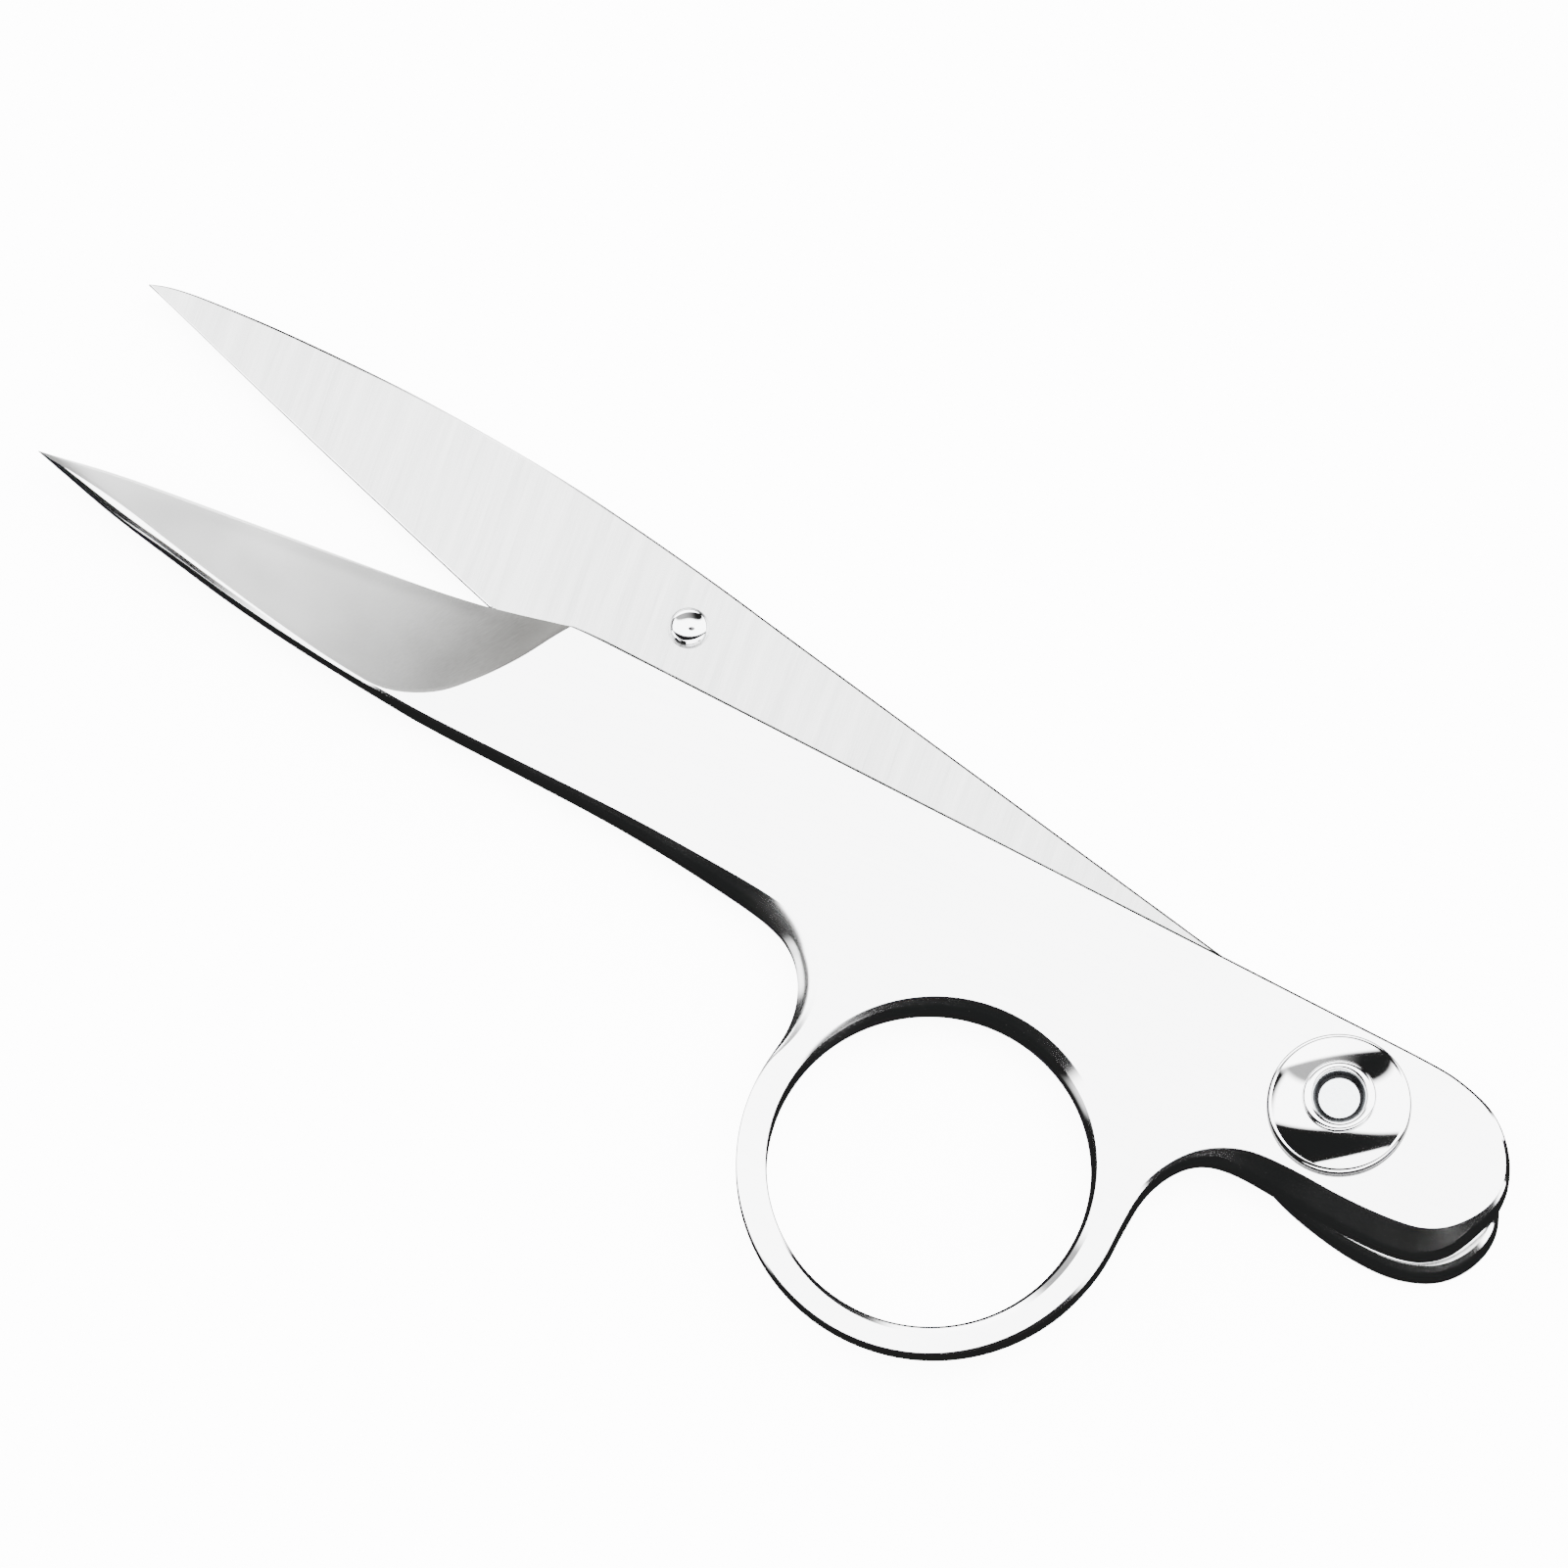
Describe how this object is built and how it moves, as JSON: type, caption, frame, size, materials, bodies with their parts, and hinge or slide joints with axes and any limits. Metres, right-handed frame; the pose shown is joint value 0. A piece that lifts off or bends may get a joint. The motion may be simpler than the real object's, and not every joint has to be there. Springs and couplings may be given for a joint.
{
  "type": "thread snips",
  "caption": "Sprung metal thread snips with a finger ring on a long flat plate, a hollow-ground lower blade and a pivoting upper blade, lying open on their back.",
  "frame": {"origin": "on the pivot axis, at the flush back of the rivet's countersunk head, level with the upper blade's flat back", "axes": "+X runs from the blade tips to the tail, +Y from the finger ring to the upper blade's spine, +Z from the flat back to the dome washer in front"},
  "size_m": [0.1222, 0.0486, 0.0081],
  "materials": {
    "polished_chrome": "mirror polished chrome plate with a satin ground blade face",
    "brushed_stainless": "fine cross-brushed stainless steel",
    "chrome_fittings": "bright mirror chrome",
    "plain_steel": "plain turned steel",
    "spring_wire": "drawn spring wire"
  },
  "bodies": {
    "ring_handle": {"ring_plate": "polished_chrome", "pivot_rivet": "chrome_fittings", "front_washer": "chrome_fittings", "pivot_bush": "plain_steel", "torsion_spring": "spring_wire"},
    "blade": {"upper_blade": "brushed_stainless", "stop_pin": "chrome_fittings"}
  },
  "joints": [
    {"name": "blade_pivot", "type": "hinge", "parent": "ring_handle", "child": "blade", "pos_m": [0, 0, 0.0025], "axis": [0, 0, 1], "range_deg": [0, 8], "stiffness_Nm_per_rad": 0.25, "springref_deg": -28.65, "deforming": ["torsion_spring"]}
  ]
}
